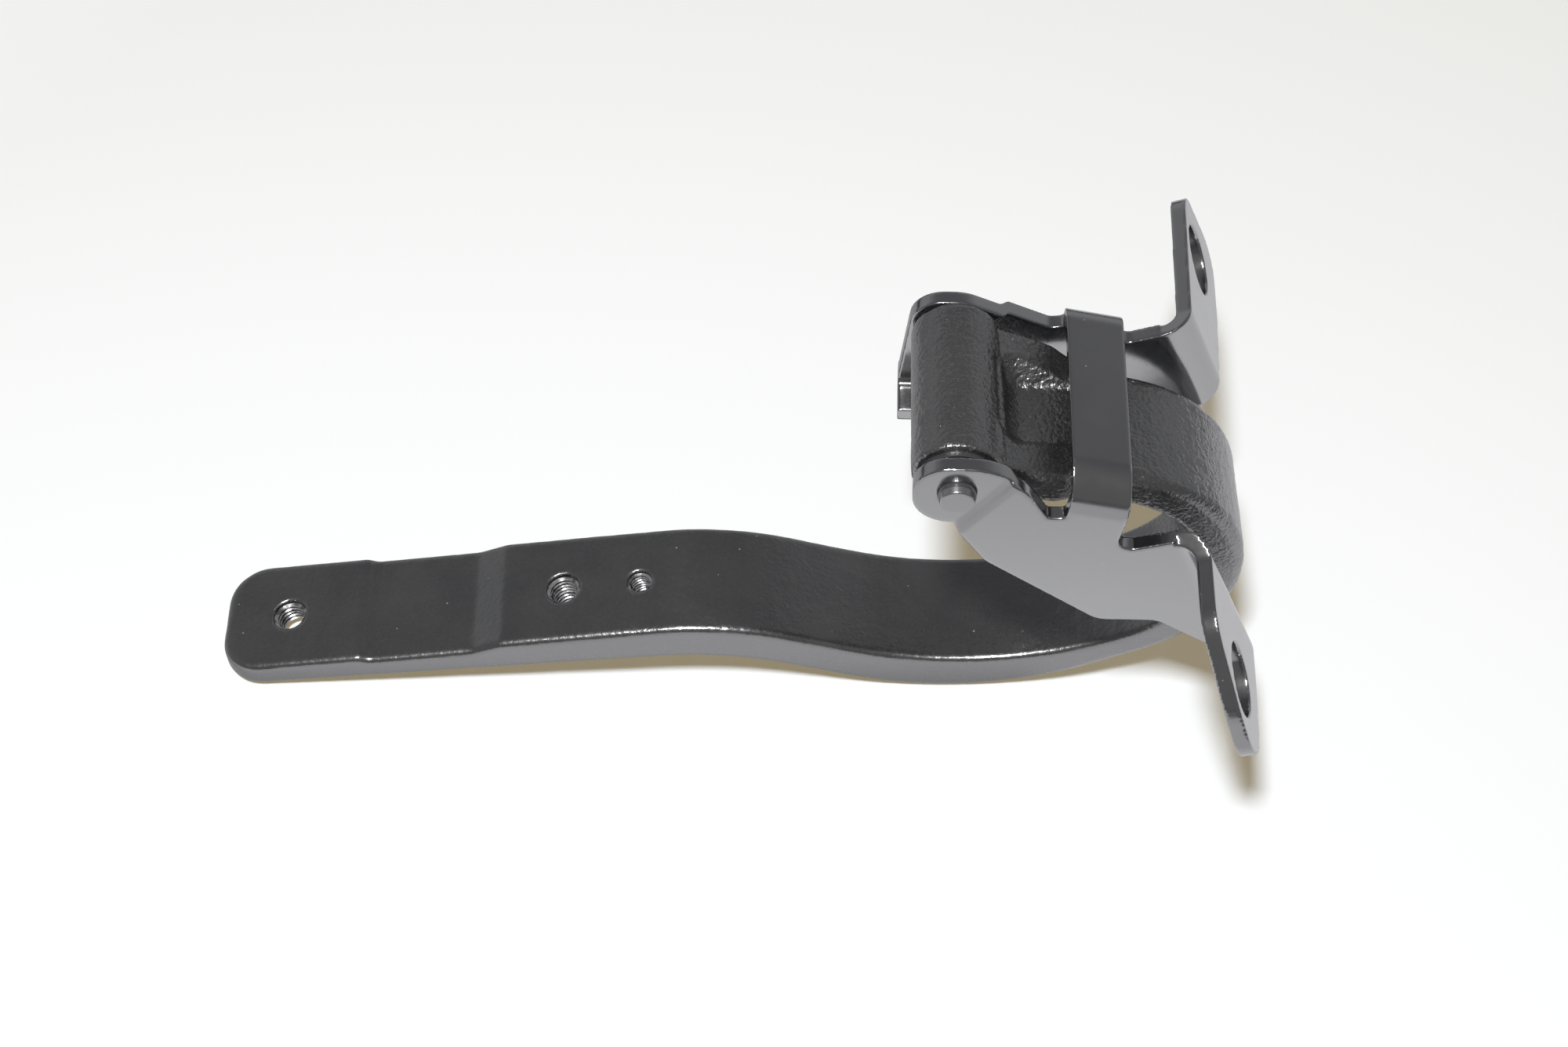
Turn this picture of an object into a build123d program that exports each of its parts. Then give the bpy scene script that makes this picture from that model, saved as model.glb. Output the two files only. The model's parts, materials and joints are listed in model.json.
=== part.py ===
import os
from math import cos, radians, sin, tan

from build123d import *

# A boot lid hinge: a forged gooseneck arm that swings on a pin between the two ears of a
# pressed steel bracket. Sizes are in millimetres and angles in degrees. The origin is the
# middle of the footprint, with the hinge lying on its strap. X runs along the strap
# towards the bracket, Y along the hinge pin and Z up.

# Place of the hinge pin
pin_x = 51.05
pin_y = -4.05
pin_z = 92.87

# Hinge pin
pin_radius = 4.0
pin_tip_radius = 3.55
pin_tip_length = 1.4
pin_stand_out = 2.5
pin_head_radius = 5.4
pin_head_height = 2.0

# Bushes pressed into the arm's eye
running_clearance = 0.05
bush_wall = 1.0
bush_length = 15.0
bush_flange_radius = 8.0
bush_flange_thickness = 1.2
bush_side_gap = 0.25

# Eye and neck of the arm
eye_radius = 9.6
eye_length = 38.4
eye_round = 0.8
neck_setback = 0.3
neck_angle = 17.2
neck_shoulder_angle = 29.0
neck_top_height = 3.3
neck_thickness = 9.0
neck_shoulder_x = 24.7
neck_flare_start = 21.0
neck_flare_end = 37.5
neck_round = 3.0

# Cast recess in the top of the neck
recess_start = 8.2
recess_end = 35.5
recess_width = 23.0
recess_depth = 3.4
recess_corner = 4.0
recess_draft = 35.0

# Gooseneck curl
curl_reach = 66.2
curl_radius = 37.2
curl_wall = 9.7
curl_inner_radius = 27.5

# Strap, seen from the side: it rises from the trough under the pin to the curl, and drops
# from the hump to the trough
rise_angle = 30.0
rise_wall = 8.7
rise_foot = (39.0, -82.1)
drop_angle = 19.5
drop_wall = 12.2
drop_foot = (-32.0, -85.2)
trough_radius_under = 71.0
trough_radius_top = 76.0
hump_radius_under = 66.0
hump_radius_top = 63.0

# Strap pads
strap_width = 29.4
strap_length = 170.6
strap_corner = 9.5
strap_edge_round = 1.6
outer_edge_round = 2.8
arm_skew = 1.7
pad_angle = 9.1
pad_height = -71.8
underside_angle = 7.05
underside_height = -80.3
underside_station = 66.0
main_hole_x = -88.8
coined_depth = 2.05
coined_end_step = 1.35
coined_ramp = (-103.0, -110.0)
coined_end = (-134.7, -137.0)
ramp_blend = 4.0
step_blend = 2.0

# Threaded holes in the strap
bolt_radius = 4.0
bolt_chamfer = 0.25
bolt_spacing = 67.2
screw_radius = 3.0
screw_offset = 18.4

# Bracket sheet
sheet = 3.5
bend_radius = 3.5
ear_space = 44.2
pad_joggle = 1.45
crease_point = (6.7, -2.5)
crease_angle = 57.0
crease_half_width = 0.8

# Near ear, as seen from the near side and measured from the pin
pad_reach = 9.2
pad_top = 8.2
far_pad_top = 7.8
near_slope_corner = (11.4, 8.2)
near_notch_left = (19.3, -6.3)
near_notch_right = (23.0, -6.3)
near_neck_notch = (34.4, -18.4)
near_belly_right = (46.4, -44.2)
near_belly_left = (33.2, -44.4)
near_throat_low = (7.0, -22.5)
near_throat_high = (-0.2, -10.4)

# Far ear
far_slope_corner = (2.0, 7.8)
far_notch = (21.0, -1.6)
far_belly_right = (51.1, -30.9)
far_belly_left = (30.0, -31.0)
far_throat = (12.0, -19.0)

# Bridge over the neck
bridge_left = 23.8
bridge_right = 36.4
bridge_top = 4.8
bridge_angle = 12.6
bridge_outer_radius = 5.5
bridge_inner_radius = 2.0

# Mounting flanges: their outer faces are flat and lean back by this angle. Distances are
# across each face's normal from the pin (reach), down the face (drop) and out from the
# pin's middle (out)
flange_lean = 21.7
near_flange_reach = 45.2
far_flange_reach = 47.5
flange_hole_radius = 8.15
near_hole_out = 46.5
near_hole_drop = 54.7
far_hole_out = 53.6
far_hole_drop = 34.1
near_edge_drop = 30.3
near_flange_top = 33.5
near_flange_low = 71.9
far_edge_drop = 20.0
far_flange_top = 21.4
far_flange_low = 47.6

# Stop tab on the far ear
tab_left = -11.8
tab_right = -3.9
tab_bend_height = -17.5
tab_low = -23.0
tab_reach = 12.3
tab_inner_radius = 2.0


def crossing(point_a, angle_a, point_b, angle_b):
    """The point where a line through point_a at angle_a meets one through point_b."""
    slope_a = tan(radians(angle_a))
    slope_b = tan(radians(angle_b))
    x = (point_b[1] - point_a[1] + slope_a * point_a[0] - slope_b * point_b[0]) / (slope_a - slope_b)
    return x, point_a[1] + slope_a * (x - point_a[0])


def height_at(x, point, angle):
    """The height at x of a line through point at an angle."""
    return point[1] + tan(radians(angle)) * (x - point[0])


# Planes that the pieces are drawn on
pin_middle = Vector(pin_x, pin_y, pin_z)
side_plane = Plane(origin=pin_middle, x_dir=(1, 0, 0), z_dir=(0, -1, 0))
skew = radians(arm_skew)
arm_along = Vector(cos(skew), sin(skew), 0)
arm_across = Vector(sin(skew), -cos(skew), 0)
arm_plane = Plane(origin=pin_middle, x_dir=arm_along, z_dir=arm_across)
arm_plan = Plane(origin=pin_middle, x_dir=arm_along, z_dir=(0, 0, 1))
eye_half = eye_length / 2
ear_inner = ear_space / 2
ear_outer = ear_inner + sheet
pad_inner = ear_inner - pad_joggle
pad_outer = pad_inner + sheet

# Side profile of the arm, as lines that meet at corners, each then rounded
neck_normal = radians(neck_angle)
neck_crown = (neck_top_height * sin(neck_normal), neck_top_height * cos(neck_normal))
neck_drop = neck_thickness - neck_top_height
neck_foot = (-neck_drop * sin(neck_normal), -neck_drop * cos(neck_normal))
neck_shoulder = (neck_shoulder_x, height_at(neck_shoulder_x, neck_crown, -neck_angle))
neck_root_x = 0.65 * eye_radius
neck_root_top = (neck_root_x, height_at(neck_root_x, neck_shoulder, -neck_shoulder_angle))
neck_root_low = (neck_root_x, height_at(neck_root_x, neck_foot, -neck_angle))
curl_top = (curl_reach, height_at(curl_reach, neck_crown, -neck_angle))
curl_low = (curl_reach, height_at(curl_reach, rise_foot, rise_angle))
curl_inner_x = curl_reach - curl_wall
rise_crown = (rise_foot[0], rise_foot[1] + rise_wall / cos(radians(rise_angle)))
curl_inner_top = (curl_inner_x, height_at(curl_inner_x, neck_foot, -neck_angle))
curl_inner_low = (curl_inner_x, height_at(curl_inner_x, rise_crown, rise_angle))
drop_crown = (drop_foot[0], drop_foot[1] + drop_wall / cos(radians(drop_angle)))
trough_under = crossing(drop_foot, -drop_angle, rise_foot, rise_angle)
trough_top = crossing(drop_crown, -drop_angle, rise_crown, rise_angle)
underside_point = (-underside_station, underside_height)
pad_point = (main_hole_x, pad_height)
hump_under = crossing(underside_point, underside_angle, drop_foot, -drop_angle)
hump_top = crossing(pad_point, pad_angle, drop_crown, -drop_angle)
pad_lean = radians(pad_angle)
coined_point = (main_hole_x, pad_height - coined_depth / cos(pad_lean))
end_pad_point = (main_hole_x, coined_point[1] + coined_end_step / cos(pad_lean))
ramp_head = (coined_ramp[0], height_at(coined_ramp[0], pad_point, pad_angle))
ramp_foot = (coined_ramp[1], height_at(coined_ramp[1], coined_point, pad_angle))
step_foot = (coined_end[0], height_at(coined_end[0], coined_point, pad_angle))
step_head = (coined_end[1], height_at(coined_end[1], end_pad_point, pad_angle))
strap_tip_low = (-strap_length, height_at(-strap_length, underside_point, underside_angle))
strap_tip_top = (-strap_length, height_at(-strap_length, end_pad_point, pad_angle))

# Eye: a short bar around the hinge pin, with its rims rounded
with BuildPart() as eye:
    with BuildSketch(side_plane):
        Circle(eye_radius)
    extrude(amount=eye_half, both=True)
    fillet(eye.edges().filter_by(GeomType.CIRCLE), radius=eye_round)

# Neck: wider near the eye, and cut to its plan so that it narrows under the bridge
with BuildPart() as neck:
    with BuildSketch(arm_plane):
        with BuildLine():
            Polyline(
                neck_root_top,
                neck_shoulder,
                (neck_flare_end, height_at(neck_flare_end, neck_crown, -neck_angle)),
                (neck_flare_end, height_at(neck_flare_end, neck_foot, -neck_angle)),
                neck_root_low,
                close=True,
            )
        make_face()
    extrude(amount=eye_half - neck_setback, both=True)
    with BuildSketch(arm_plan):
        with BuildLine():
            FilletPolyline(
                (0, eye_half - neck_setback),
                (neck_flare_start, eye_half - neck_setback),
                (neck_flare_end, strap_width / 2 - neck_round),
                (neck_flare_end, -strap_width / 2 + neck_round),
                (neck_flare_start, -eye_half + neck_setback),
                (0, -eye_half + neck_setback),
                radius=[6, 0, 0, 6],
            )
            Line((0, -eye_half + neck_setback), (0, eye_half - neck_setback))
        make_face()
    extrude(amount=eye_length, both=True, mode=Mode.INTERSECT)
    neck_sides = neck.faces().filter_by(lambda face: abs(face.normal_at().Z) < 0.01)
    neck_sides = neck_sides.filter_by(lambda face: abs(face.normal_at().dot(arm_across)) > 0.5)
    neck_rims = [edge for edge in neck_sides.edges() if abs(edge.tangent_at(0.5).X) > 0.3]
    fillet(neck_rims, radius=neck_round)

# Arm: the forged strap, swept up into the gooseneck, with the eye at its end
with BuildPart() as arm:
    with BuildSketch(arm_plane):
        with BuildLine():
            FilletPolyline(
                strap_tip_low,
                hump_under,
                trough_under,
                curl_low,
                curl_top,
                neck_shoulder,
                neck_root_top,
                radius=[hump_radius_under, trough_radius_under, curl_radius, curl_radius, 0],
            )
            Line(neck_root_top, neck_root_low)
            FilletPolyline(
                neck_root_low,
                curl_inner_top,
                curl_inner_low,
                trough_top,
                hump_top,
                ramp_head,
                ramp_foot,
                step_foot,
                step_head,
                strap_tip_top,
                radius=[
                    curl_inner_radius,
                    curl_inner_radius,
                    trough_radius_top,
                    hump_radius_top,
                    ramp_blend,
                    ramp_blend,
                    step_blend,
                    step_blend,
                ],
            )
            Line(strap_tip_top, strap_tip_low)
        make_face()
    extrude(amount=strap_width / 2, both=True)
    tip_corners = arm.edges().filter_by(Axis.Z).sort_by(Axis.X)[:2]
    fillet(tip_corners, radius=strap_corner)
    side_faces = arm.faces().filter_by(arm_plane)
    tip_faces = arm.faces().filter_by(lambda face: face.center().X < strap_tip_low[0] + pin_x + strap_corner)
    tip_faces = tip_faces.filter_by(lambda face: abs(face.normal_at().Z) < 0.01)
    walls = ShapeList(set(side_faces + tip_faces))
    wall_edges = [edge for face in walls for edge in face.edges()]
    rims = ShapeList([edge for edge in set(wall_edges) if wall_edges.count(edge) == 1])
    fillet(rims.sort_by(Axis.X)[-2:], radius=outer_edge_round)
    fillet([edge for edge in rims if edge in arm.edges()], radius=strap_edge_round)
    add(neck.part)
    add(eye.part)

    # Recess in the top of the neck
    recess_head = (recess_start, height_at(recess_start, neck_shoulder, -neck_shoulder_angle))
    recess_foot = (recess_end, height_at(recess_end, neck_crown, -neck_angle))
    recess_run = Vector(recess_foot[0] - recess_head[0], recess_foot[1] - recess_head[1])
    recess_dir = arm_along * recess_run.X + Vector(0, 0, recess_run.Y)
    recess_up = recess_dir.cross(Vector(0, 0, 0) - arm_across).normalized()
    recess_corner_point = pin_middle + arm_along * recess_head[0] + Vector(0, 0, recess_head[1])
    recess_plane = Plane(origin=recess_corner_point, x_dir=recess_dir, z_dir=recess_up * -1)
    with BuildSketch(recess_plane):
        with Locations((recess_run.length / 2, 0)):
            RectangleRounded(recess_run.length, recess_width, recess_corner)
    extrude(amount=recess_depth, taper=recess_draft, mode=Mode.SUBTRACT)

    # Holes, square to the pads that they stand in
    pad_up = Vector(0, 0, cos(pad_lean)) - arm_along * sin(pad_lean)
    pad_along = arm_along * cos(pad_lean) + Vector(0, 0, sin(pad_lean))
    main_mouth = pin_middle + arm_along * pad_point[0] + Vector(0, 0, pad_point[1])
    end_mouth = main_mouth - pad_along * bolt_spacing - pad_up * (coined_depth - coined_end_step)
    screw_mouth = main_mouth + pad_along * screw_offset
    with Locations(Plane(origin=main_mouth, x_dir=pad_along, z_dir=pad_up)):
        CounterSinkHole(bolt_radius, bolt_radius + bolt_chamfer, counter_sink_angle=90)
    with Locations(Plane(origin=end_mouth, x_dir=pad_along, z_dir=pad_up)):
        CounterSinkHole(bolt_radius, bolt_radius + bolt_chamfer, counter_sink_angle=90)
    with Locations(Plane(origin=screw_mouth, x_dir=pad_along, z_dir=pad_up)):
        CounterSinkHole(screw_radius, screw_radius + bolt_chamfer, counter_sink_angle=90)

    # Bore through the eye for the two bushes
    with BuildSketch(side_plane):
        Circle(pin_radius + running_clearance + bush_wall)
    extrude(amount=eye_length, both=True, mode=Mode.SUBTRACT)

arm.part.label = "hinge_arm"

# Bushes: a thin sleeve in each end of the eye, its flange between eye and ear
bush_bore = pin_radius + running_clearance
bush_radius = bush_bore + bush_wall
flange_outer = pad_inner - bush_side_gap
bush_profile = [
    (bush_bore, eye_half - bush_length),
    (bush_radius, eye_half - bush_length),
    (bush_radius, eye_half),
    (bush_flange_radius, eye_half),
    (bush_flange_radius, flange_outer),
    (bush_bore, flange_outer),
]
with BuildPart() as near_bush:
    with BuildSketch(Plane(origin=pin_middle, x_dir=(0, 0, 1), z_dir=(1, 0, 0))):
        with BuildLine():
            Polyline(*[(radius, along) for radius, along in bush_profile], close=True)
        make_face()
    revolve(axis=Axis(pin_middle, (0, 1, 0)))
near_bush.part.label = "near_bush"

with BuildPart() as far_bush:
    add(near_bush.part)
    mirror(about=Plane(origin=pin_middle, z_dir=(0, 1, 0)), mode=Mode.REPLACE)
far_bush.part.label = "far_bush"

# Hinge pin: headed behind the far ear, its tip standing out of the near one
pin_profile = [
    (0, -pad_outer - pin_stand_out),
    (pin_tip_radius, -pad_outer - pin_stand_out),
    (pin_radius, -pad_outer - pin_stand_out + pin_tip_length),
    (pin_radius, pad_outer),
    (pin_head_radius, pad_outer),
    (pin_head_radius, pad_outer + pin_head_height),
    (0, pad_outer + pin_head_height),
]
with BuildPart() as hinge_pin:
    with BuildSketch(Plane(origin=pin_middle, x_dir=(0, 0, 1), z_dir=(-1, 0, 0))):
        with BuildLine():
            Polyline(*pin_profile, close=True)
        make_face()
    revolve(axis=Axis(pin_middle, (0, 1, 0)))
    pin_ends = hinge_pin.edges().filter_by(GeomType.CIRCLE).group_by(Axis.Y)
    fillet(pin_ends[-1], radius=pin_head_height * 0.4)
    fillet(pin_ends[0], radius=pin_tip_length * 0.35)
hinge_pin.part.label = "hinge_pin"

# Directions of the mounting flanges: out of their faces, and down them
lean = radians(flange_lean)
flange_out = Vector(cos(lean), 0, sin(lean))
flange_down = Vector(sin(lean), 0, -cos(lean))


def on_ear(reach, drop):
    """Ear coordinates of a place given by its reach and drop along the flanges."""
    return reach * cos(lean) + drop * sin(lean), reach * sin(lean) - drop * cos(lean)


near_bend_start = near_flange_reach - sheet - bend_radius
far_bend_start = far_flange_reach - sheet - bend_radius
crease_dir = Vector(cos(radians(crease_angle)), 0, sin(radians(crease_angle)))
crease_across = Vector(sin(radians(crease_angle)), 0, -cos(radians(crease_angle)))
crease_origin = pin_middle + Vector(crease_point[0], 0, crease_point[1])
bridge_slope = radians(bridge_angle)
bridge_corner_drop = bridge_outer_radius / cos(bridge_slope)
bridge_line = (bridge_left, bridge_top)
strip_left = (bridge_left, bridge_top - bridge_corner_drop)
strip_right = (bridge_right, height_at(bridge_right, bridge_line, -bridge_angle) - bridge_corner_drop)
far_strip_corner = crossing(on_ear(0, far_edge_drop), flange_lean, (bridge_right, 0), 89.9)

# Section through an ear, across the crease where its pad is set in
ear_section = [
    (-80, pad_inner),
    (-crease_half_width, pad_inner),
    (crease_half_width, ear_inner),
    (90, ear_inner),
    (90, ear_outer),
    (crease_half_width, ear_outer),
    (-crease_half_width, pad_outer),
    (-80, pad_outer),
]

with BuildPart() as near_ear:
    with BuildSketch(Plane(origin=crease_origin, x_dir=crease_across, z_dir=crease_dir)):
        with BuildLine():
            Polyline(*[(x, -y) for x, y in ear_section], close=True)
        make_face()
    extrude(amount=90, both=True)
    with BuildSketch(side_plane):
        with BuildLine():
            FilletPolyline(
                (-pad_reach, pad_top),
                near_slope_corner,
                near_notch_left,
                near_notch_right,
                strip_left,
                strip_right,
                near_neck_notch,
                on_ear(near_bend_start, near_edge_drop),
                on_ear(near_bend_start, near_flange_low),
                on_ear(near_bend_start - 3, near_flange_low),
                near_belly_right,
                near_belly_left,
                near_throat_low,
                near_throat_high,
                (-pad_reach, near_throat_high[1]),
                radius=[8.0, 17.0, 1.0, 1.1, 0, 0, 3.0, 0, 0, 3.0, 6.0, 6.0, 8.0, 0.8, 8.4],
                close=True,
            )
        make_face()
    extrude(amount=2 * ear_outer, mode=Mode.INTERSECT)

with BuildPart() as far_ear:
    with BuildSketch(Plane(origin=crease_origin, x_dir=crease_across, z_dir=crease_dir)):
        with BuildLine():
            Polyline(*ear_section, close=True)
        make_face()
    extrude(amount=90, both=True)
    with BuildSketch(side_plane):
        with BuildLine():
            FilletPolyline(
                (-pad_reach, far_pad_top),
                far_slope_corner,
                far_notch,
                strip_left,
                strip_right,
                far_strip_corner,
                on_ear(far_bend_start, far_edge_drop),
                on_ear(far_bend_start, far_flange_low),
                far_belly_right,
                far_belly_left,
                far_throat,
                (tab_right, far_throat[1] + 6.5),
                (tab_right, tab_bend_height),
                (tab_left, tab_bend_height),
                radius=[7.5, 10, 2.0, 0, 0, 2.0, 0, 0, 3.0, 10, 8, 3, 0, 0],
                close=True,
            )
        make_face()
    extrude(amount=-2 * ear_outer, mode=Mode.INTERSECT)

# Bridge: the strip that joins the two ears over the neck, bent down at both sides
with BuildPart() as bridge:
    bridge_dir = Vector(cos(bridge_slope), 0, -sin(bridge_slope))
    bridge_origin = pin_middle + Vector(bridge_left, 0, bridge_top) - bridge_dir * 3
    leg = bridge_outer_radius + 2.5
    with BuildSketch(Plane(origin=bridge_origin, x_dir=(0, 1, 0), z_dir=bridge_dir)):
        with BuildLine():
            FilletPolyline(
                (-ear_outer, -leg),
                (-ear_outer, 0),
                (ear_outer, 0),
                (ear_outer, -leg),
                radius=bridge_outer_radius,
            )
            Line((ear_outer, -leg), (ear_inner, -leg))
            FilletPolyline(
                (ear_inner, -leg),
                (ear_inner, -sheet),
                (-ear_inner, -sheet),
                (-ear_inner, -leg),
                radius=bridge_inner_radius,
            )
            Line((-ear_inner, -leg), (-ear_outer, -leg))
        make_face()
    extrude(amount=bridge_right - bridge_left + 8)
    with BuildSketch(side_plane):
        with BuildLine():
            Polyline(
                (bridge_left, bridge_top + 5),
                (bridge_right, bridge_top + 5),
                strip_right,
                (strip_right[0] - 0.3, strip_right[1] - 1.5),
                (strip_left[0] - 0.1, strip_left[1] - 1.5),
                strip_left,
                close=True,
            )
        make_face()
    extrude(amount=2 * ear_outer, both=True, mode=Mode.INTERSECT)

# Flanges: each leaves its ear in a bend and stands out square to it
flange_span = 80
with BuildPart() as near_flange:
    with BuildSketch(Plane(origin=pin_middle, x_dir=flange_out, z_dir=flange_down)):
        with BuildLine():
            FilletPolyline(
                (near_bend_start - 1, ear_inner),
                (near_flange_reach, ear_inner),
                (near_flange_reach, flange_span),
                radius=bend_radius + sheet,
            )
            Line((near_flange_reach, flange_span), (near_flange_reach - sheet, flange_span))
            FilletPolyline(
                (near_flange_reach - sheet, flange_span),
                (near_flange_reach - sheet, ear_outer),
                (near_bend_start - 1, ear_outer),
                radius=bend_radius,
            )
            Line((near_bend_start - 1, ear_outer), (near_bend_start - 1, ear_inner))
        make_face()
    extrude(amount=100)
    with BuildSketch(Plane(origin=pin_middle, x_dir=(0, -1, 0), z_dir=flange_out)):
        with BuildLine():
            FilletPolyline(
                (ear_inner - 2, near_edge_drop),
                (ear_inner + 1, near_edge_drop),
                (ear_outer + 3, near_flange_top),
                (45.3, near_flange_top),
                (57.0, 51.0),
                (64.4, 67.6),
                (38.8, near_flange_low - 0.2),
                (ear_outer + 3, near_flange_low),
                (ear_inner - 2, near_flange_low),
                radius=[3, 4, 10, 30, 9, 4, 0],
            )
            Line((ear_inner - 2, near_flange_low), (ear_inner - 2, near_edge_drop))
        make_face()
    extrude(amount=90, mode=Mode.INTERSECT)
    with BuildSketch(Plane(origin=pin_middle, x_dir=(0, -1, 0), z_dir=flange_out)):
        with Locations((near_hole_out, near_hole_drop)):
            Circle(flange_hole_radius)
    extrude(amount=90, mode=Mode.SUBTRACT)

with BuildPart() as far_flange:
    with BuildSketch(Plane(origin=pin_middle, x_dir=flange_out, z_dir=flange_down)):
        with BuildLine():
            FilletPolyline(
                (far_bend_start - 1, -ear_inner),
                (far_flange_reach, -ear_inner),
                (far_flange_reach, -flange_span),
                radius=bend_radius + sheet,
            )
            Line((far_flange_reach, -flange_span), (far_flange_reach - sheet, -flange_span))
            FilletPolyline(
                (far_flange_reach - sheet, -flange_span),
                (far_flange_reach - sheet, -ear_outer),
                (far_bend_start - 1, -ear_outer),
                radius=bend_radius,
            )
            Line((far_bend_start - 1, -ear_outer), (far_bend_start - 1, -ear_inner))
        make_face()
    extrude(amount=100)
    with BuildSketch(Plane(origin=pin_middle, x_dir=(0, 1, 0), z_dir=flange_out * -1)):
        with BuildLine():
            FilletPolyline(
                (ear_inner - 2, far_edge_drop),
                (ear_inner + 1, far_edge_drop),
                (ear_outer + 3, far_flange_top),
                (67.0, 24.2),
                (69.2, 51.8),
                (50.0, 51.2),
                (ear_outer + 3, far_flange_low),
                (ear_inner - 2, far_flange_low),
                radius=[3, 4, 7, 8, 10, 3],
            )
            Line((ear_inner - 2, far_flange_low), (ear_inner - 2, far_edge_drop))
        make_face()
    extrude(amount=-90, mode=Mode.INTERSECT)
    with BuildSketch(Plane(origin=pin_middle, x_dir=(0, 1, 0), z_dir=flange_out * -1)):
        with Locations((far_hole_out, far_hole_drop)):
            Circle(flange_hole_radius)
    extrude(amount=-90, mode=Mode.SUBTRACT)

# Stop tab: the foot of the far ear, turned in under the eye
with BuildPart() as stop_tab:
    with BuildSketch(Plane(origin=pin_middle + Vector(tab_left, 0, 0), x_dir=(0, 1, 0), z_dir=(1, 0, 0))):
        with BuildLine():
            FilletPolyline(
                (pad_outer, tab_bend_height + 1),
                (pad_outer, tab_low),
                (tab_reach, tab_low),
                radius=tab_inner_radius + sheet,
            )
            Line((tab_reach, tab_low), (tab_reach, tab_low + sheet))
            FilletPolyline(
                (tab_reach, tab_low + sheet),
                (pad_inner, tab_low + sheet),
                (pad_inner, tab_bend_height + 1),
                radius=tab_inner_radius,
            )
            Line((pad_inner, tab_bend_height + 1), (pad_outer, tab_bend_height + 1))
        make_face()
    extrude(amount=tab_right - tab_left)

# Bracket: one pressing of all these, with the pin's seat through both ears
with BuildPart() as bracket:
    add(near_ear.part)
    add(far_ear.part)
    add(bridge.part)
    add(near_flange.part)
    add(far_flange.part)
    add(stop_tab.part)
    with BuildSketch(side_plane):
        Circle(pin_radius)
    extrude(amount=2 * ear_outer, both=True, mode=Mode.SUBTRACT)
bracket.part.label = "body_bracket"

os.makedirs("parts", exist_ok=True)
for piece in (arm, near_bush, far_bush, hinge_pin, bracket):
    export_step(piece.part, "parts/" + piece.part.label + ".step")
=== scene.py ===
import json
from math import cos, pi, radians, sin, tan

import bpy
from mathutils import Matrix, Vector, noise


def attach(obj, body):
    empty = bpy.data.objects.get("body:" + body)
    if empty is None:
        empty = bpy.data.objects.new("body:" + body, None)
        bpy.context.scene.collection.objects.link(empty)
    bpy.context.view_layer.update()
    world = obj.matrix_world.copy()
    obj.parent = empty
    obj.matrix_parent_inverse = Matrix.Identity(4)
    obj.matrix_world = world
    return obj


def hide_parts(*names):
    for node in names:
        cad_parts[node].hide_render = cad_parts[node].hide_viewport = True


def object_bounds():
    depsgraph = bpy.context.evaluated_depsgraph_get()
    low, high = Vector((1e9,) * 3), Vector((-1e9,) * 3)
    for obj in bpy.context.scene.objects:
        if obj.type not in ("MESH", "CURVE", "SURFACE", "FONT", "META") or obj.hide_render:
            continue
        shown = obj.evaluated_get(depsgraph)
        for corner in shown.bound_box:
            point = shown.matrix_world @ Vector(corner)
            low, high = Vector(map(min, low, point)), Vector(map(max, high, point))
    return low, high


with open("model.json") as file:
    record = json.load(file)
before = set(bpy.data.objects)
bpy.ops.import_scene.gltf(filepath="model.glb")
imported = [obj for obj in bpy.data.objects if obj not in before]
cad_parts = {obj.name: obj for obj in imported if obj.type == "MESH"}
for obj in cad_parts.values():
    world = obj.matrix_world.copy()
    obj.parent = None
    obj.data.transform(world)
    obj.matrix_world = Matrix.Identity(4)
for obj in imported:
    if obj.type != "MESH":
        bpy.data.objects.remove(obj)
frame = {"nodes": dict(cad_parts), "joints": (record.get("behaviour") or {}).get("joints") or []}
cad_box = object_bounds()
bpy.ops.object.select_all(action="DESELECT")
pin = Vector(frame["joints"][0]["pos_m"])
mm = 0.001  # lengths are in metres

# Camera. The hinge is photographed from above its near side, looking down at 55 degrees,
# through a lens of 58.8 mm on a 36 mm wide frame. Its place is measured from the hinge pin.
camera_from_pin = Vector((-26.70, -335.06, 431.91)) * mm
look_down = radians(55)
look_turn = radians(1.7)
lens_mm = 58.82
film_width_mm = 36
bpy.ops.object.camera_add(location=pin + camera_from_pin, rotation=(pi / 2 - look_down, 0, look_turn))
camera = bpy.context.object
camera.name = "camera"
camera.data.sensor_width = film_width_mm
camera.data.lens = lens_mm
camera.data.clip_start = 10 * mm
bpy.context.scene.camera = camera
bpy.context.scene.view_settings.view_transform = "Standard"


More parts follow.
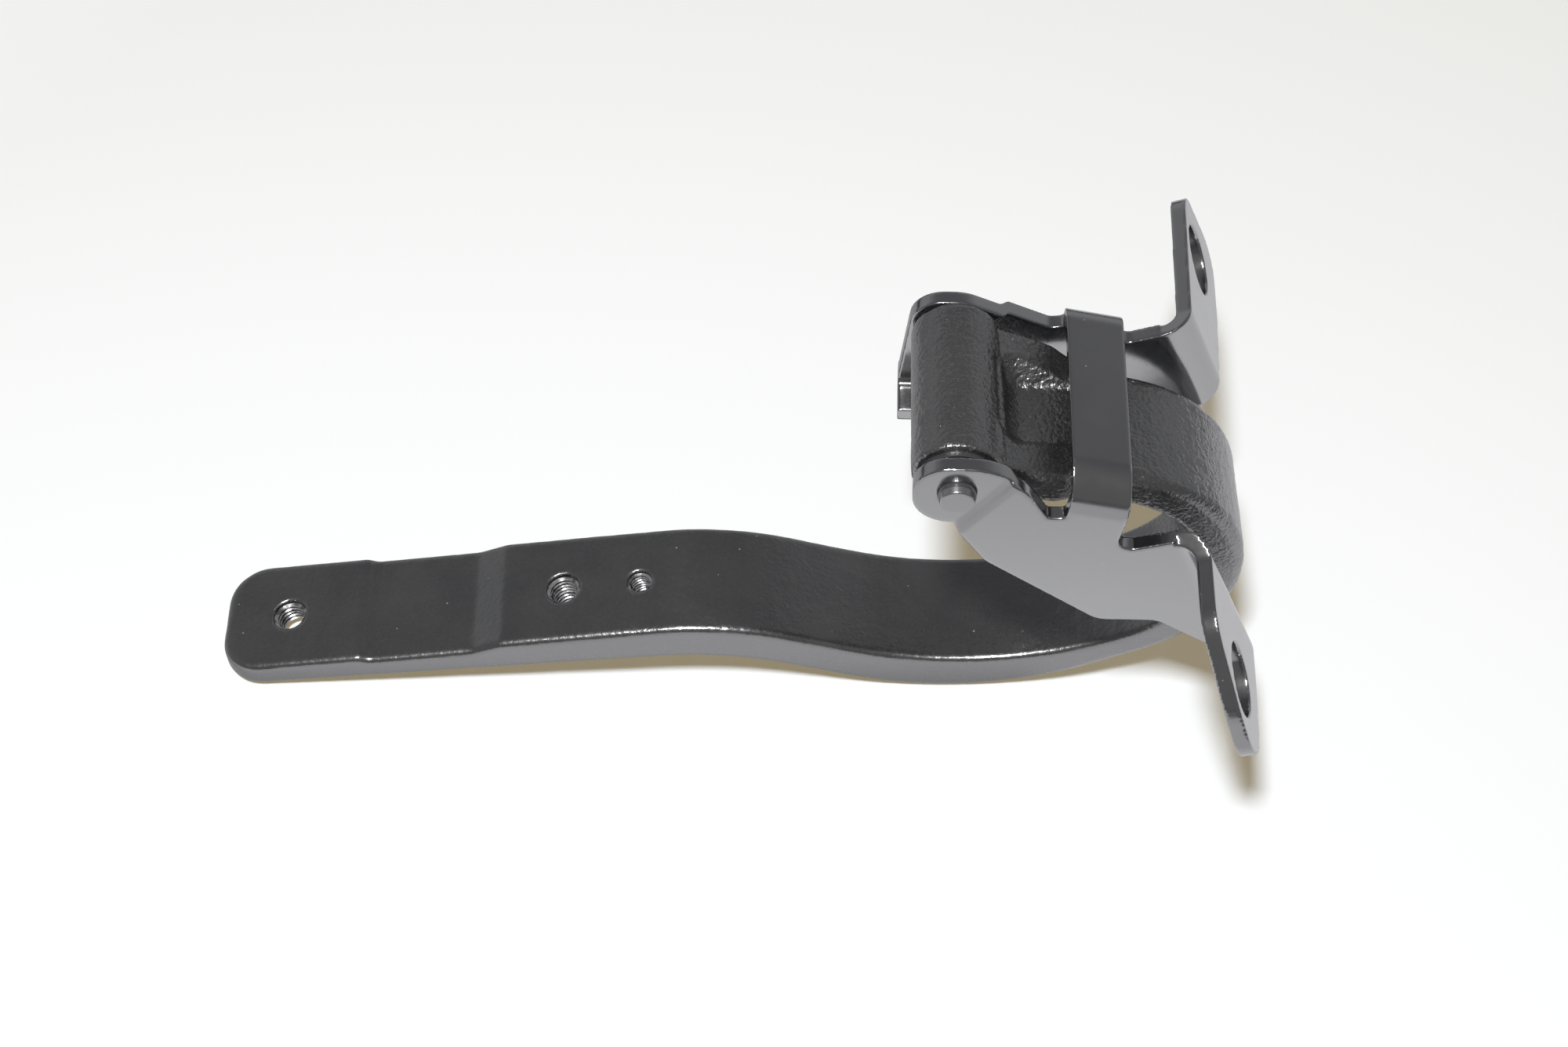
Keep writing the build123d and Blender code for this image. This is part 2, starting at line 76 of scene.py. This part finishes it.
class Wire:
    """A shader socket that can be used in sums, which add the nodes that work them out."""

    def __init__(self, tree, socket=None):
        self.tree = tree
        self.socket = socket

    def node(self, kind, settings=None, sockets=None, output=0):
        """A wire from a new node, whose settings are set before its sockets."""
        made = self.tree.nodes.new("ShaderNode" + kind)
        for name, value in (settings or {}).items():
            setattr(made, name, value)
        for name, value in (sockets or {}).items():
            if isinstance(value, Wire):
                self.tree.links.new(value.socket, made.inputs[name])
            else:
                made.inputs[name].default_value = value
        return Wire(self.tree, made.outputs[output] if made.outputs else None)

    def maths(self, operation, first, second):
        return self.node("Math", {"operation": operation}, {0: first, 1: second})

    def __add__(self, other):
        return self.maths("ADD", self, other)

    def __radd__(self, other):
        return self.maths("ADD", other, self)

    def __sub__(self, other):
        return self.maths("SUBTRACT", self, other)

    def __rsub__(self, other):
        return self.maths("SUBTRACT", other, self)

    def __mul__(self, other):
        return self.maths("MULTIPLY", self, other)

    def __rmul__(self, other):
        return self.maths("MULTIPLY", other, self)

    def between(self, low, high):
        """Nought below low, one above high and a straight slope between them."""
        return self.node("MapRange", {"clamp": True}, {"Value": self, "From Min": low, "From Max": high})

    def mixed(self, colour_a, colour_b):
        """The first colour where this wire is nought and the second where it is one."""
        return self.node("Mix", {"data_type": "RGBA"}, {0: self, 6: colour_a, 7: colour_b}, output=2)


def cleared(owner):
    """A wire into the emptied node tree of a material or a world."""
    owner.use_nodes = True
    owner.node_tree.nodes.clear()
    return Wire(owner.node_tree)


# Table. The hinge lies on a white table that keeps a warm shadow and is white to the camera.
# In the hinge's gloss the table carries painted shade: a painted shadow beside the strap and a
# painted shadow toward the viewer; further off it gives way to a dark room.
table_half = 3.0
table_gap = 0.05 * mm
table_reflects = (0.757, 0.82, 0.907, 1)
table_glows = (0.24, 0.19, 0.10, 1)
open_table_from = 0.30
open_table_at = 1.40
open_table_glows = (0.91, 0.915, 0.915, 1)
table_reflects_in_gloss = (0.86, 0.86, 0.89, 1)
table_glows_in_gloss = (0.24, 0.24, 0.245, 1)
gloss_fades_from = -60 * mm
gloss_fades_to = -115 * mm
painted_viewer_shadow_depth = 0.40
gloss_ends_from = 0.40
gloss_ends_at = 0.60
arm_skew = radians(1.7)
strap_touches_at = -15 * mm
strap_clear_at = -23 * mm
strap_ends_from = 20 * mm
strap_ends_at = 35 * mm
painted_strap_shadow_depth = 0.5
dark_room = (0.20, 0.20, 0.20, 1)
bpy.ops.mesh.primitive_plane_add(size=2 * table_half, location=(0, 0, cad_box[0][2] - table_gap))
table = bpy.context.object
table.name = "table"
white_top = bpy.data.materials.new("white_table")
wire = cleared(white_top)
to_camera = wire.node("LightPath", output="Is Camera Ray")
through = wire.node("LightPath", output="Is Transmission Ray")
mirrored = wire.node("LightPath", output="Is Glossy Ray")
table_place = wire.node("TexCoord", output="Object")
from_pin = {0: table_place, 1: (pin.x, pin.y, 0)}
away = wire.node("VectorMath", {"operation": "DISTANCE"}, from_pin, output="Value")
along = wire.node("SeparateXYZ", sockets={0: table_place}, output="X") - pin.x
nearer = wire.node("SeparateXYZ", sockets={0: table_place}, output="Y")
across = nearer - pin.y - along * tan(arm_skew)
# Painted shadow: toward the viewer the table's colour and glow are darker in the hinge's gloss.
painted_viewer_shadow_mask = nearer.between(pin.y + gloss_fades_from, pin.y + gloss_fades_to)
beyond = away.between(gloss_ends_from, gloss_ends_at)
# Painted shadow: beside the strap's side the table's colour and glow are darker in the hinge's gloss.
painted_strap_shadow_mask = across.between(strap_clear_at, strap_touches_at)
painted_strap_shadow_mask = painted_strap_shadow_mask * along.between(strap_ends_at, strap_ends_from)
kept = (1 - painted_viewer_shadow_depth * painted_viewer_shadow_mask) * (1 - beyond) * (1 - painted_strap_shadow_depth * painted_strap_shadow_mask)
in_gloss = (1 - kept).mixed(table_reflects_in_gloss, dark_room)
shade = wire.node("BsdfDiffuse", sockets={"Color": mirrored.mixed(table_reflects, in_gloss)})
open_table = away.between(open_table_from, open_table_at).mixed(table_glows, open_table_glows)
glow = wire.node("Emission", sockets={
    "Color": mirrored.mixed(open_table, table_glows_in_gloss),
    "Strength": to_camera + through + mirrored * kept,
})
both = wire.node("AddShader", sockets={0: shade, 1: glow})
wire.node("OutputMaterial", sockets={"Surface": both})
table.data.materials.append(white_top)


# Light. A small softbox hangs over the viewer's side. Behind the hinge stands a pale wall
# under a dim ceiling, and the room behind the viewer is dark. The camera sees white paper.
softbox_from_pin = Vector((-0.15, -0.45, 1.1))
softbox_size = 0.14
softbox_watts = 16.2
bpy.ops.object.light_add(type="AREA", location=pin + softbox_from_pin)
softbox = bpy.context.object
softbox.name = "softbox"
softbox.data.shape = "SQUARE"
softbox.data.size = softbox_size
softbox.data.energy = softbox_watts
softbox.rotation_euler = (-softbox_from_pin).to_track_quat("-Z", "Y").to_euler()

dim_overhead = (0.165, 0.165, 0.175, 1)
pale_wall = (0.42, 0.425, 0.44, 1)
white_paper = (0.96, 0.965, 0.97, 1)
wall_ends_from = 0.40
wall_ends_at = 0.72
room_ends_from = -0.15
room_ends_at = 0.35
room_dims_shade = 0.7
world = bpy.data.worlds.new("studio")
bpy.context.scene.world = world
wire = cleared(world)
looking = wire.node("TexCoord", output="Generated")
height = wire.node("SeparateXYZ", sockets={0: looking}, output="Z")
behind = wire.node("SeparateXYZ", sockets={0: looking}, output="Y")
far_side = height.between(wall_ends_from, wall_ends_at).mixed(pale_wall, dim_overhead)
room = behind.between(room_ends_from, room_ends_at).mixed(dark_room, far_side)
sky = wire.node("Background", sockets={
    "Color": wire.node("LightPath", output="Is Camera Ray").mixed(room, white_paper),
    "Strength": 1 - room_dims_shade * wire.node("LightPath", output="Is Diffuse Ray"),
})
wire.node("OutputWorld", sockets={"Surface": sky})


# Hinge arm: one steel forging, struck hot, trimmed at the die line and dipped in black paint.
# The curl, the neck and the eye keep the pimpled skin of the die; the strap is pressed
# smooth, and its edges are worn a little uneven.
def active_piece(piece):
    """Picks one piece alone, for the steps that work on the active one."""
    bpy.ops.object.select_all(action="DESELECT")
    piece.select_set(True)
    bpy.context.view_layer.objects.active = piece


def copy_of(node_name, piece_name):
    """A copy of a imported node, picked, whose loose triangles are merged."""
    merge_gap = 0.005 * mm
    piece = bpy.data.objects.new(piece_name, frame["nodes"][node_name].data.copy())
    bpy.context.scene.collection.objects.link(piece)
    active_piece(piece)
    bpy.ops.mesh.customdata_custom_splitnormals_clear()
    bpy.ops.object.mode_set(mode="EDIT")
    bpy.ops.mesh.select_all(action="SELECT")
    bpy.ops.mesh.remove_doubles(threshold=merge_gap)
    bpy.ops.object.mode_set(mode="OBJECT")
    return piece


def die_block(corners, draw, block_frame):
    """A block of a die: flat corners in millimetres, drawn out one way and set in a frame."""
    bpy.ops.mesh.primitive_circle_add(vertices=len(corners), fill_type="NGON", location=(0, 0, 0))
    block = bpy.context.object
    for vertex, corner in zip(block.data.vertices, corners):
        vertex.co = Vector(corner) * mm
    bpy.ops.object.mode_set(mode="EDIT")
    bpy.ops.mesh.select_all(action="SELECT")
    bpy.ops.mesh.extrude_region_move(TRANSFORM_OT_translate={"value": tuple(Vector(draw) * mm)})
    bpy.ops.mesh.select_all(action="SELECT")
    bpy.ops.mesh.normals_make_consistent(inside=False)
    bpy.ops.object.mode_set(mode="OBJECT")
    block.data.transform(block_frame)
    return block


def struck(piece, block, operation):
    """The piece joined with a block, or cut by it. The block is used up."""
    active_piece(piece)
    strike = piece.modifiers.new("strike", "BOOLEAN")
    strike.operation = operation
    strike.solver = "EXACT"
    strike.object = block
    bpy.ops.object.modifier_apply(modifier="strike")
    bpy.data.objects.remove(block)


def softened(piece, mesh_size, passes):
    """The picked piece with an even mesh, whose sharp edges each pass rounds a little."""
    piece.data.remesh_voxel_size = mesh_size
    piece.data.remesh_voxel_adaptivity = 0
    bpy.ops.object.voxel_remesh()
    soft = piece.modifiers.new("soft", "SMOOTH")
    soft.factor = 0.5
    soft.iterations = passes
    bpy.ops.object.modifier_apply(modifier="soft")


def eased(value, low, high):
    """Nought below low, one above high and a smooth rise between them."""
    share = min(max((value - low) / (high - low), 0), 1)
    return share * share * (3 - 2 * share)


# The neck's top slopes down from the eye to a shoulder. Outlines are in millimetres along the
# arm and up from the pin.
along_arm = Vector((cos(arm_skew), sin(arm_skew), 0))
across_arm = Vector((-sin(arm_skew), cos(arm_skew), 0))
arm_turn = Matrix((along_arm, across_arm, (0, 0, 1))).transposed().to_4x4()
arm_frame = Matrix.Translation(pin) @ arm_turn
neck_root = (8.5, 2.79)
neck_root_low = (8.5, -5.0)
neck_slope = (9.3, 2.44)
neck_slope_clear = 16.0
neck_shoulder = (24.7, -4.19)
neck_shoulder_low = (24.7, -10.0)
neck_end = (36.5, -7.84)
neck_end_low = (36.5, -13.5)
neck_fill = (neck_root, neck_shoulder, neck_end, neck_end_low, neck_shoulder_low, neck_root_low)
neck_fill_width = 23.2
neck_trim_top = ((neck_slope[0], neck_slope_clear), (neck_shoulder[0], neck_slope_clear))
neck_trim = (neck_trim_top[0], neck_slope, neck_shoulder, neck_trim_top[1])
neck_trim_width = 60.0

forging = copy_of("hinge_arm", "arm_forging")
for outline, width, operation in (
    (neck_fill, neck_fill_width, "UNION"),
    (neck_trim, neck_trim_width, "DIFFERENCE"),
):
    corners = [(reach, -width / 2, rise) for reach, rise in outline]
    struck(forging, die_block(corners, (0, width, 0), arm_frame), operation)

# The slope has a pocket with a flat floor, drafted walls and rounded corners at its foot.
recess_foot = (11.5, -3.9)
recess_floor_slope = radians(5.9)
recess_floor_half = 7.45
recess_side_draft = radians(43)
recess_end_draft = radians(20.5)
recess_corner = 3.0
recess_corner_steps = 6
recess_reach = 22.0
recess_height = 12.0
bpy.ops.mesh.primitive_cube_add(size=2, location=(0, 0, 0))
recess = bpy.context.object
for vertex in recess.data.vertices:
    rise = recess_height if vertex.co.z > 0 else 0
    start = -rise * tan(recess_end_draft) if vertex.co.x < 0 else recess_reach
    half = recess_floor_half + rise * tan(recess_side_draft)
    vertex.co = Vector((start, half * vertex.co.y, rise)) * mm
bpy.ops.object.mode_set(mode="EDIT")
bpy.ops.mesh.select_all(action="DESELECT")
bpy.ops.object.mode_set(mode="OBJECT")
for edge in recess.data.edges:
    ends = [recess.data.vertices[index].co for index in edge.vertices]
    at_foot = max(end.x for end in ends) < recess_reach / 2 * mm
    upright = abs(ends[0].z - ends[1].z) > recess_height / 2 * mm
    edge.select = at_foot and upright
bpy.ops.object.mode_set(mode="EDIT")
bpy.ops.mesh.bevel(offset=recess_corner * mm, segments=recess_corner_steps)
bpy.ops.object.mode_set(mode="OBJECT")
recess.data.transform(Matrix.Rotation(recess_floor_slope, 4, "Y"))
recess.data.transform(Matrix.Translation(Vector((recess_foot[0], 0, recess_foot[1])) * mm))
recess.data.transform(arm_frame)
struck(forging, recess, "DIFFERENCE")

# The skin of the die covers what is high over the strap or far round the curl.
forging_mesh_size = 0.62 * mm
forging_passes = 3
skin_low = -72 * mm
skin_high = -45 * mm
skin_starts_along = 48 * mm
skin_full_along = 60 * mm
lump_size = 4.2 * mm
lump_height = 0.10 * mm
pimple_size = 1.5 * mm
pimple_height = 0.075 * mm
strap_wave_size = 16 * mm
strap_wave_height = 0.05 * mm
edge_dent_size = 3.0 * mm
edge_dent_depth = 0.06 * mm
softened(forging, forging_mesh_size, forging_passes)
shaped = []
for vertex in forging.data.vertices:
    place = vertex.co
    rel = place - pin
    round_curl = eased(rel.x, skin_starts_along, skin_full_along)
    skin = max(eased(rel.z, skin_low, skin_high), round_curl)
    lumps = noise.noise(place / lump_size) * lump_height
    pimples = noise.noise(place / pimple_size) * pimple_height
    waves = noise.noise(place / strap_wave_size) * strap_wave_height
    dents = min(noise.noise(place / edge_dent_size), 0) * edge_dent_depth
    shaped.append(place + vertex.normal * (skin * (lumps + pimples) + (1 - skin) * (waves + dents)))
for vertex, place in zip(forging.data.vertices, shaped):
    vertex.co = (place.x, place.y, min(place.z, cad_box[1][2]))
bpy.ops.object.shade_smooth()
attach(forging, "arm")
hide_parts("hinge_arm")


def paint(name, colours, grain_size, grain_depth, roughness, speckle, depth_of_gloss, smooth_share=1):
    """Black dip paint over steel: a skin of grain, uneven gloss and a few specks of dust.

    The smooth share is how much of the grain is left on the arm's smooth strap.
    """
    cloud_size = 14 * mm
    dust_spacing = 7 * mm
    dust_core = 0.022
    dust_rim = 0.034
    dust_colour = (0.5, 0.5, 0.48, 1)
    dust_dulls = 0.2
    cloud_dark = 0.35
    cloud_light = 0.65
    cloud_dulls = 0.12
    grain_dulls = 0.10
    material = bpy.data.materials.new(name)
    wire = cleared(material)
    place = wire.node("TexCoord", output="Object")
    cloud = wire.node("TexNoise", None, {"Vector": place, "Scale": 1 / cloud_size, "Detail": 4.0})
    grain = wire.node("TexNoise", None, {"Vector": place, "Scale": 1 / grain_size, "Detail": 2.5})
    rise = wire.node("SeparateXYZ", sockets={0: place}, output="Z")
    skin = smooth_share + (1 - smooth_share) * rise.between(pin.z + skin_low, pin.z + skin_high)
    dust = wire.node("TexVoronoi", {"feature": "F1"}, {"Vector": place, "Scale": 1 / dust_spacing})
    speck = 1 - dust.between(dust_core, dust_rim)
    base = cloud.between(cloud_dark, cloud_light).mixed(*colours)
    base = (speck * speckle).mixed(base, dust_colour)
    gloss = roughness + (cloud - 0.5) * cloud_dulls + (grain - 0.5) * grain_dulls + speck * dust_dulls
    bump = wire.node("Bump", None, {"Strength": 1.0, "Distance": grain_depth, "Height": grain * skin})
    shader = wire.node("BsdfPrincipled", None, {
        "Base Color": base,
        "Roughness": gloss,
        "IOR": depth_of_gloss,
        "Specular IOR Level": 1.0,
        "Normal": bump,
    })
    wire.node("OutputMaterial", sockets={"Surface": shader})
    return material


forged_paint = paint(
    "forged_paint",
    colours=((0.012, 0.012, 0.012, 1), (0.018, 0.017, 0.017, 1)),
    grain_size=1.0 * mm,
    grain_depth=0.34 * mm,
    roughness=0.28,
    speckle=0.6,
    depth_of_gloss=1.9,
    smooth_share=0.22,
)
forging.data.materials.clear()
forging.data.materials.append(forged_paint)


# Threads: two M8 holes and one M6 hole are tapped through the strap, square to its pad.
# The tap leaves bright flanks under thin paint.
pad_angle = radians(9.1)
pad_along = along_arm * cos(pad_angle) + Vector((0, 0, sin(pad_angle)))
pad_up = Vector((0, 0, cos(pad_angle))) - along_arm * sin(pad_angle)
pad_across = pad_up.cross(pad_along)
main_hole_along = -88.8 * mm
main_hole_up = -71.8 * mm
end_hole_back = 67.2 * mm
end_pad_step = 0.7 * mm
screw_hole_ahead = 18.4 * mm
main_mouth = pin + along_arm * main_hole_along + Vector((0, 0, main_hole_up))
end_mouth = main_mouth - pad_along * end_hole_back - pad_up * end_pad_step
screw_mouth = main_mouth + pad_along * screw_hole_ahead
m8_radius = 4.0 * mm
m8_pitch = 1.25 * mm
m6_radius = 3.0 * mm
m6_pitch = 1.0 * mm
main_hole_depth = 11.1 * mm
end_hole_depth = 8.0 * mm
screw_hole_depth = 11.7 * mm

dull_paint = (0.05, 0.05, 0.052, 1)
bright_steel = (0.42, 0.42, 0.43, 1)
smear_size = 1.6 * mm
bare_from = 0.42
bare_at = 0.62
bare_metal = 0.85
paint_roughness = 0.36
steel_roughness = 0.26
thread_finish = bpy.data.materials.new("tapped_steel")
wire = cleared(thread_finish)
place = wire.node("TexCoord", output="Object")
smear = wire.node("TexNoise", None, {"Vector": place, "Scale": 1 / smear_size, "Detail": 3.0})
bare = smear.between(bare_from, bare_at)
steel = wire.node("BsdfPrincipled", None, {
    "Base Color": bare.mixed(dull_paint, bright_steel),
    "Metallic": bare_metal * bare,
    "Roughness": paint_roughness - (paint_roughness - steel_roughness) * bare,
})
wire.node("OutputMaterial", sockets={"Surface": steel})


def tapped(name, mouth, major, pitch, depth):
    """A helical ridge down the wall of a hole, from under its mouth to its far end.

    Its root is sunk a little into the wall. The halves and the start are shares of the pitch.
    """
    thread_height = 0.54
    root_half = 0.44
    crest_half = 0.07
    first_turn_down = 0.75
    root_sunk = 0.04 * mm
    both_mouths = 0.9 * mm
    steps_per_turn = 40
    smooth_under = radians(30)
    merge_gap = 0.002 * mm
    crest = major - thread_height * pitch
    root = major + root_sunk
    turns = int((depth - both_mouths) / pitch)
    bpy.ops.mesh.primitive_circle_add(vertices=4, radius=0.2 * mm, location=(0, 0, 0))
    ridge = bpy.context.object
    ridge.name = name
    corners = ((root, root_half), (root, -root_half), (crest, -crest_half), (crest, crest_half))
    for vertex, (reach, rise) in zip(ridge.data.vertices, corners):
        vertex.co = (reach, 0, rise * pitch)
    screw = ridge.modifiers.new("screw", "SCREW")
    screw.axis = "Z"
    screw.screw_offset = pitch
    screw.iterations = turns
    screw.steps = steps_per_turn
    screw.render_steps = steps_per_turn
    screw.use_normal_calculate = True
    bpy.ops.object.modifier_apply(modifier="screw")
    bpy.ops.object.mode_set(mode="EDIT")
    bpy.ops.mesh.select_all(action="SELECT")
    bpy.ops.mesh.remove_doubles(threshold=merge_gap)
    bpy.ops.mesh.select_all(action="DESELECT")
    bpy.ops.mesh.select_non_manifold()
    bpy.ops.mesh.edge_face_add()
    bpy.ops.mesh.select_all(action="SELECT")
    bpy.ops.mesh.normals_make_consistent(inside=False)
    bpy.ops.object.mode_set(mode="OBJECT")
    turned = Matrix((pad_along, pad_across, pad_up)).transposed().to_4x4()
    start = mouth - pad_up * pitch * (first_turn_down + turns)
    ridge.data.transform(Matrix.Translation(start) @ turned)
    bpy.ops.object.shade_smooth_by_angle(angle=smooth_under)
    ridge.data.materials.append(thread_finish)
    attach(ridge, "arm")


tapped("main_thread", main_mouth, m8_radius, m8_pitch, main_hole_depth)
tapped("end_thread", end_mouth, m8_radius, m8_pitch, end_hole_depth)
tapped("screw_thread", screw_mouth, m6_radius, m6_pitch, screw_hole_depth)


# Bracket: one pressing of 3.5 mm steel sheet, blanked, folded and dipped in the same black
# paint. The paint pulls back from the cut edges and leaves them softly rounded. A die with a
# quarter round in it, in millimetres from the bridge's crown, eases the bridge's near bend.
pressing_mesh_size = 0.44 * mm
pressing_passes = 6
bridge_slope = radians(12.6)
bridge_crown = (24.0, 4.8)
bridge_left = -4.0
bridge_width = 22.0
ear_face = -25.6
near_bend = 9.0
bend_steps = 16
die_clear = 2.0
bend_turns = [pi / 2 * step / bend_steps for step in range(bend_steps + 1)]
bend_outline = [
    (ear_face + near_bend * (1 - cos(turn)), near_bend * (sin(turn) - 1)) for turn in bend_turns
]
bend_outline.append((ear_face + near_bend, die_clear))
bend_outline.append((ear_face - die_clear, die_clear))
bend_outline.append((ear_face - die_clear, -near_bend))
corners = [(bridge_left, reach, rise) for reach, rise in bend_outline]
crown = pin + Vector((bridge_crown[0], 0, bridge_crown[1])) * mm
bridge_frame = Matrix.Translation(crown) @ Matrix.Rotation(bridge_slope, 4, "Y")

pressing = copy_of("body_bracket", "bracket_pressing")
struck(pressing, die_block(corners, (bridge_width, 0, 0), bridge_frame), "DIFFERENCE")
softened(pressing, pressing_mesh_size, pressing_passes)
bpy.ops.object.shade_smooth()
pressed_paint = paint(
    "pressed_paint",
    colours=((0.010, 0.010, 0.012, 1), (0.014, 0.014, 0.016, 1)),
    grain_size=2.4 * mm,
    grain_depth=0.006 * mm,
    roughness=0.17,
    speckle=0.3,
    depth_of_gloss=2.35,
)
pressing.data.materials.clear()
pressing.data.materials.append(pressed_paint)
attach(pressing, "bracket")
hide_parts("body_bracket")


# Hinge pin: turned steel, headed at the far end, painted with the bracket after assembly.
pin_paint = paint(
    "pin_paint",
    colours=((0.045, 0.045, 0.047, 1), (0.055, 0.055, 0.057, 1)),
    grain_size=1.4 * mm,
    grain_depth=0.015 * mm,
    roughness=0.25,
    speckle=0.2,
    depth_of_gloss=2.2,
)
frame["nodes"]["hinge_pin"].material_slots[0].material = pin_paint


# Bushes: thin flanged sleeves, pressed into the eye, with a graphite skin that runs against
# the ears.
bush_skin = paint(
    "bush_skin",
    colours=((0.030, 0.030, 0.032, 1), (0.040, 0.040, 0.043, 1)),
    grain_size=0.6 * mm,
    grain_depth=0.01 * mm,
    roughness=0.35,
    speckle=0.0,
    depth_of_gloss=1.6,
)
for bush in ("near_bush", "far_bush"):
    frame["nodes"][bush].material_slots[0].material = bush_skin
